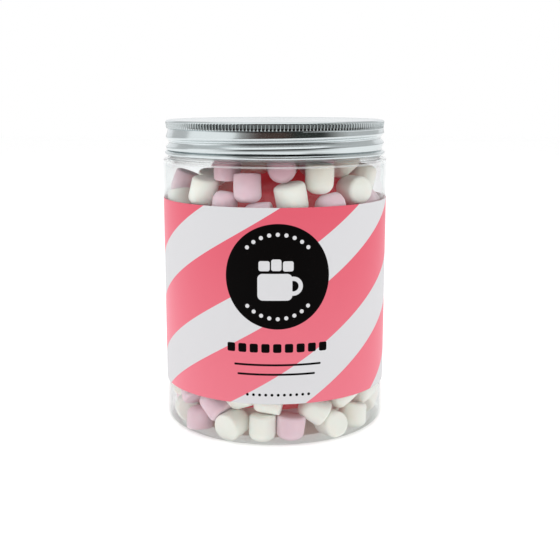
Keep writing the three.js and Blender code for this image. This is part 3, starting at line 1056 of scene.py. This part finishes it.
coreParts = {
    "low": 10,
    "high": 115,
    "rows": 60,
    "columns": 90,
    "radius": 36,
    "behindLabel": 10,
    "behindFrom": 8,  # from the label's lower edge, and the next from its upper edge
    "behindTo": 10,
    "behindFade": 8,
    "belowLabel": 2,
    "belowTo": 30,
    "lowFrom": 2,
    "lowFade": 5,
    "highFade": 8,
    "poleShare": 0.35,
    "lump": 1.1,
    "lumpRise": 2.1,
    "lumpBend": 1.3,
    "bendsAround": 7,
    "lumpsAround": 18,
}


def makeCore():
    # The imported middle, lumpy by a product of waves, wide where the label hides it
    p = coreParts
    heights = np.linspace(p["low"], p["high"], p["rows"])[:, None]
    angle = np.arange(p["columns"]) * 2 * math.pi / p["columns"]
    hidden = smoothStep((heights - labelBottom - p["behindFrom"]) / p["behindFade"])
    hidden = hidden * smoothStep((labelTop - p["behindTo"] - heights) / p["behindFade"])
    lowEnd = smoothStep((heights - p["low"] + p["lowFrom"]) / p["lowFade"])
    ends = np.minimum(lowEnd, smoothStep((p["high"] - heights) / p["highFade"]))
    base = p["radius"] + p["behindLabel"] * hidden + p["belowLabel"] * (heights < p["belowTo"])
    base = base * (p["poleShare"] + (1 - p["poleShare"]) * ends)
    bend = p["lumpBend"] * np.sin(p["bendsAround"] * angle)
    lumps = np.sin(heights / p["lumpRise"] + bend) * np.sin(p["lumpsAround"] * angle) * p["lump"]
    grid = around(base + lumps, angle, heights)
    core = closedGrid("mallow_core", grid, p["low"] - 1, p["high"] + 1, coreShade)
    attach(core, "root")
    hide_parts("marshmallows")


def makeHeap():
    sweets = allSweets()
    settled = settle(sweets)
    random = np.random.default_rng(sweetParts["seed"])
    pink = np.array([s["colour"] == "pink" for s in sweets])
    cut = np.where(random.random(len(sweets)) < 0.5, -1, 1)
    cut[: len(frontSweets)] = 1
    makeSweets("mallows_pink", pink, settled, cut, pinkSweet, random)
    makeSweets("mallows_white", ~pink, settled, cut, whiteSweet, random)
    makeCore()
    print("marshmallows placed:", len(sweets), "pink:", int(pink.sum()))


makeHeap()


# Stage, light and camera

stage = {
    "floorSize": 6,
    "floorColour": 0.9,
    "floorGlow": 0.38,
    "shadeRadius": 41,
    "shadeFade": 5,
    # Painted light under the jar: the warm colour the floor glows there
    "shadeGlow": (0.42, 0.33, 0.27),
    "skyShown": 1.0,
    "skyLight": 0.68,
    "backHalf": 1200,
    "backAway": 1300,
    "backLow": 150,
    "backHigh": 800,
    "backGlow": 1.02,
    "cardReach": 800,
    "cardLow": 40,
    "cardHigh": 900,
    "cardFrom": -42,
    "cardTo": 78,
    "cardLeft": (0.06, 0.026, 0.018),
    "cardRight": (0.012, 0.018, 0.014),
    "rightFrom": 100,
    "rightOver": 200,
    "cardEnds": (0.5, 0.5, 0.49),
    "leftEnd": -270,  # across
    "leftEndFade": 300,
    "rightEnd": -500,  # from front to back
    "rightEndFade": 250,
}
lights = [
    # name, place in metres, aim in metres, width, height, power in watts, seen in gloss
    ("key_left", (-0.85, -0.32, 0.34), (0, 0, 0.09), 1.2, 1.0, 2.1, True),
    ("key_right", (0.8, -0.25, 0.34), (0, 0, 0.07), 0.8, 0.9, 1.5, False),
    ("top", (0, -0.1, 1.0), (0, 0, 0.07), 1.2, 1.2, 3.2, True),
]
cameraParts = {
    "distance": 0.4408,
    "height": 0.1474,
    "pitch": 10.84,
    "lens": 62.41,
    "shiftX": 0.0092,
}


def aimed(holder, place, target):
    holder.location = place
    direction = np.array(target) - np.array(place)
    flat = math.hypot(direction[0], direction[1])
    holder.rotation_euler = (math.atan2(flat, -direction[2]), 0, math.atan2(-direction[0], direction[1]))


def makeFloor():
    look = Look("floor_white")
    tone = stage["floorColour"]
    colour = look.mix(look.noise(30, 2), (tone,) * 3, (tone * 0.99,) * 3)
    inputs = {"Base Color": colour, "Roughness": 0.8, "Specular IOR Level": 0.1}
    # The floor glows white, but dimmer and warm under the jar: painted shade and warm painted light there
    x, y, _ = look.split(look.place())
    away = look.math("SQRT", x * x + y * y)
    glow = look.clamp((away - stage["shadeRadius"] * mm) / (stage["shadeFade"] * mm))
    inputs["Emission Color"] = look.mix(glow, stage["shadeGlow"], (1, 1, 1))
    inputs["Emission Strength"] = stage["floorGlow"]
    half = stage["floorSize"] / 2 / mm
    corners = [[-half, -half, 0], [half, -half, 0], [half, half, 0], [-half, half, 0]]
    makeObject("floor", corners, [[0, 1, 2, 3]], look.finish(inputs))


def onlyReflected(card):
    # The card shows in reflections alone: the camera doesn't see it, and it changes no soft light
    card.visible_camera = False
    card.visible_diffuse = False
    card.visible_shadow = False
    return card


def makeBackCard():
    # A bright card behind the jar, low over the floor, which the top of the lid reflects
    look = Look("card_bright")
    glow = look.mix(look.noise(3, 2), (1, 1, 1), (0.97, 0.98, 1))
    inputs = {"Base Color": (0, 0, 0, 1), "Emission Color": glow, "Emission Strength": stage["backGlow"]}
    material = look.finish(inputs)
    half, away = stage["backHalf"], stage["backAway"]
    low, high = stage["backLow"], stage["backHigh"]
    corners = [[-half, away, low], [half, away, low], [half, away, high], [-half, away, high]]
    card = onlyReflected(makeObject("card_back", corners, [[0, 1, 2, 3]], material))


def makeDarkCard():
    # A dark curved card behind the camera, which the lid reflects in front. Both its ends are pale.
    look = Look("card_dark")
    across, along, _ = look.split(look.place())
    right = look.clamp((across - stage["rightFrom"] * mm) / (stage["rightOver"] * mm))
    colour = look.mix(right, stage["cardLeft"], stage["cardRight"])
    leftEnd = look.clamp(stage["leftEnd"] * mm - across) / (stage["leftEndFade"] * mm)
    rightEnd = look.clamp(along - stage["rightEnd"] * mm) / (stage["rightEndFade"] * mm)
    colour = look.mix(look.clamp(leftEnd + rightEnd), colour, stage["cardEnds"])
    material = look.finish({"Base Color": colour, "Roughness": 0.9})
    angle = np.radians(np.linspace(stage["cardFrom"], stage["cardTo"], 24))
    grid = around(stage["cardReach"], angle, np.array([stage["cardLow"], stage["cardHigh"]])[:, None])
    faces = gridFaces(2, len(angle), False, False).tolist()
    card = onlyReflected(makeObject("card", grid, faces, material))


def makeLights():
    for name, place, target, width, height, power, glossy in lights:
        lamp = bpy.data.lights.new(name, "AREA")
        lamp.shape = "RECTANGLE"
        lamp.size, lamp.size_y, lamp.energy = width, height, power
        holder = bpy.data.objects.new(name, lamp)
        bpy.context.scene.collection.objects.link(holder)
        aimed(holder, place, target)
        holder.visible_camera = False
        holder.visible_glossy = glossy
    # The backdrop shows pure white and lights a little less than it shows
    world = bpy.data.worlds.new("studio")
    world.use_nodes = True
    tree = world.node_tree
    seen = tree.nodes.new("ShaderNodeLightPath").outputs["Is Camera Ray"]
    strength = tree.nodes.new("ShaderNodeMapRange")
    strength.inputs["To Min"].default_value = stage["skyLight"]
    strength.inputs["To Max"].default_value = stage["skyShown"]
    tree.links.new(seen, strength.inputs["Value"])
    tree.nodes["Background"].inputs["Color"].default_value = (1, 1, 1, 1)
    tree.links.new(strength.outputs["Result"], tree.nodes["Background"].inputs["Strength"])
    bpy.context.scene.world = world
    bpy.context.scene.view_settings.view_transform = "Standard"


def makeCamera():
    p = cameraParts
    camera = bpy.data.cameras.new("camera")
    camera.lens, camera.shift_x = p["lens"], p["shiftX"]
    camera.sensor_width = 36
    camera.clip_start = 0.02
    holder = bpy.data.objects.new("camera", camera)
    holder.location = (0, -p["distance"], p["height"])
    holder.rotation_euler = (math.radians(90 - p["pitch"]), 0, 0)
    bpy.context.scene.collection.objects.link(holder)
    bpy.context.scene.camera = holder


makeFloor()
makeBackCard()
makeDarkCard()
makeLights()
makeCamera()
print("stage made")
